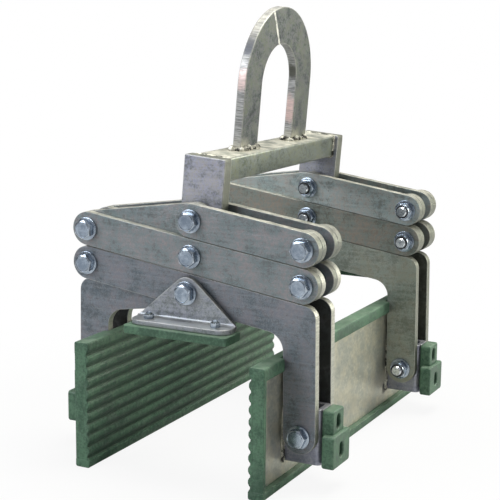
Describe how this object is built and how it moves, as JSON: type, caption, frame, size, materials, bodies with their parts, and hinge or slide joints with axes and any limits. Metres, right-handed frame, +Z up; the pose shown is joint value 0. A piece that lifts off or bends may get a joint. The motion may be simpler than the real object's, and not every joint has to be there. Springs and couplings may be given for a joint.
{
  "type": "slab grab lifter",
  "caption": "Scissor-action slab grab with a lifting eye on a cross beam, plate link frames, and long rubber-faced jaws that close as the eye is raised.",
  "frame": {"origin": "on the floor under the middle of the grab, which stands on its two jaws", "axes": "+X across the jaw opening to the right, +Y along the jaws to the rear, +Z up"},
  "size_m": [0.435, 0.6, 0.6446],
  "materials": {
    "steel_plate": "galvanised, mottled satin",
    "steel_bolt": "bright zinc",
    "pad_rubber": "matte green rubber",
    "buffer_rubber": "satin green rubber"
  },
  "bodies": {
    "top_bolts": {"front_bolt_top": "steel_bolt", "rear_bolt_top": "steel_bolt"},
    "hanger": {"front_post": "steel_plate", "rear_post": "steel_plate", "cross_beam": "steel_plate", "lifting_eye": "steel_plate"},
    "top_links_right": {"front_top_link_right_1": "steel_plate", "front_top_link_right_2": "steel_plate", "rear_top_link_right_1": "steel_plate", "rear_top_link_right_2": "steel_plate", "front_bolt_upper_right": "steel_bolt", "rear_bolt_upper_right": "steel_bolt"},
    "top_links_left": {"front_top_link_left_1": "steel_plate", "front_top_link_left_2": "steel_plate", "rear_top_link_left_1": "steel_plate", "rear_top_link_left_2": "steel_plate", "front_bolt_upper_left": "steel_bolt", "rear_bolt_upper_left": "steel_bolt"},
    "cross_links_a": {"front_cross_link_a_1": "steel_plate", "front_cross_link_a_2": "steel_plate", "rear_cross_link_a_1": "steel_plate", "rear_cross_link_a_2": "steel_plate", "front_bolt_middle": "steel_bolt", "rear_bolt_middle": "steel_bolt", "front_bolt_lower_right": "steel_bolt", "rear_bolt_lower_right": "steel_bolt"},
    "cross_links_b": {"front_cross_link_b_1": "steel_plate", "front_cross_link_b_2": "steel_plate", "rear_cross_link_b_1": "steel_plate", "rear_cross_link_b_2": "steel_plate", "front_bolt_lower_left": "steel_bolt", "rear_bolt_lower_left": "steel_bolt"},
    "leg_right": {"front_leg_right_1": "steel_plate", "front_leg_right_2": "steel_plate", "rear_leg_right_1": "steel_plate", "rear_leg_right_2": "steel_plate", "front_bolt_jaw_right": "steel_bolt", "rear_bolt_jaw_right": "steel_bolt"},
    "leg_left": {"front_leg_left_1": "steel_plate", "front_leg_left_2": "steel_plate", "rear_leg_left_1": "steel_plate", "rear_leg_left_2": "steel_plate", "front_bolt_jaw_left": "steel_bolt", "rear_bolt_jaw_left": "steel_bolt"},
    "foot_bolts": {"front_bolt_foot": "steel_bolt", "rear_bolt_foot": "steel_bolt"},
    "front_foot": {"front_foot_plate": "steel_plate", "front_foot_strip": "pad_rubber"},
    "rear_foot": {"rear_foot_plate": "steel_plate", "rear_foot_strip": "pad_rubber"},
    "jaw_right": {"right_jaw_pad": "pad_rubber", "right_jaw_plate": "steel_plate", "front_right_buffer": "buffer_rubber", "rear_right_buffer": "buffer_rubber"},
    "jaw_left": {"left_jaw_pad": "pad_rubber", "left_jaw_plate": "steel_plate", "front_left_buffer": "buffer_rubber", "rear_left_buffer": "buffer_rubber"}
  },
  "joints": [
    {"name": "close", "type": "hinge", "parent": "top_bolts", "child": "top_links_right", "pos_m": [0, 0, 0.35473], "axis": [0, 1, 0], "range_deg": [0, 32]},
    {"name": "top_left_turn", "type": "hinge", "parent": "top_bolts", "child": "top_links_left", "pos_m": [0, 0, 0.35473], "axis": [0, 1, 0], "range_deg": [-32, 0]},
    {"name": "cross_a_turn", "type": "hinge", "parent": "top_links_left", "child": "cross_links_a", "pos_m": [-0.16822, 0, 0.33017], "axis": [0, 1, 0], "range_deg": [0, 64]},
    {"name": "cross_b_turn", "type": "hinge", "parent": "top_links_right", "child": "cross_links_b", "pos_m": [0.16822, 0, 0.33017], "axis": [0, 1, 0], "range_deg": [-64, 0]},
    {"name": "leg_right_turn", "type": "hinge", "parent": "cross_links_b", "child": "leg_right", "pos_m": [-0.16822, 0, 0.28106], "axis": [0, 1, 0], "range_deg": [0, 64]},
    {"name": "leg_left_turn", "type": "hinge", "parent": "cross_links_a", "child": "leg_left", "pos_m": [0.16822, 0, 0.28106], "axis": [0, 1, 0], "range_deg": [-64, 0]},
    {"name": "foot_bolt_turn", "type": "hinge", "parent": "leg_right", "child": "foot_bolts", "pos_m": [0, 0, 0.2565], "axis": [0, 1, 0], "range_deg": [-32, 0]},
    {"name": "jaw_right_turn", "type": "hinge", "parent": "leg_right", "child": "jaw_right", "pos_m": [0.16822, 0, 0.074], "axis": [0, 1, 0], "range_deg": [-32, 0]},
    {"name": "jaw_left_turn", "type": "hinge", "parent": "leg_left", "child": "jaw_left", "pos_m": [-0.16822, 0, 0.074], "axis": [0, 1, 0], "range_deg": [0, 32]},
    {"name": "front_foot_tilt", "type": "hinge", "parent": "foot_bolts", "child": "front_foot", "pos_m": [0, -0.24, 0.2565], "axis": [0, 1, 0], "range_deg": [-20, 20]},
    {"name": "rear_foot_tilt", "type": "hinge", "parent": "foot_bolts", "child": "rear_foot", "pos_m": [0, 0.24, 0.2565], "axis": [0, 1, 0], "range_deg": [-20, 20]},
    {"name": "hanger_swing", "type": "hinge", "parent": "top_bolts", "child": "hanger", "pos_m": [0, 0, 0.35473], "axis": [0, 1, 0], "range_deg": [-49, 40]}
  ],
  "couplings": [
    {"joint": "top_left_turn", "follows": "close", "ratio": -1},
    {"joint": "cross_a_turn", "follows": "close", "ratio": 2},
    {"joint": "cross_b_turn", "follows": "close", "ratio": -2},
    {"joint": "leg_right_turn", "follows": "close", "ratio": 2},
    {"joint": "leg_left_turn", "follows": "close", "ratio": -2},
    {"joint": "foot_bolt_turn", "follows": "close", "ratio": -1},
    {"joint": "jaw_right_turn", "follows": "close", "ratio": -1},
    {"joint": "jaw_left_turn", "follows": "close", "ratio": 1}
  ]
}
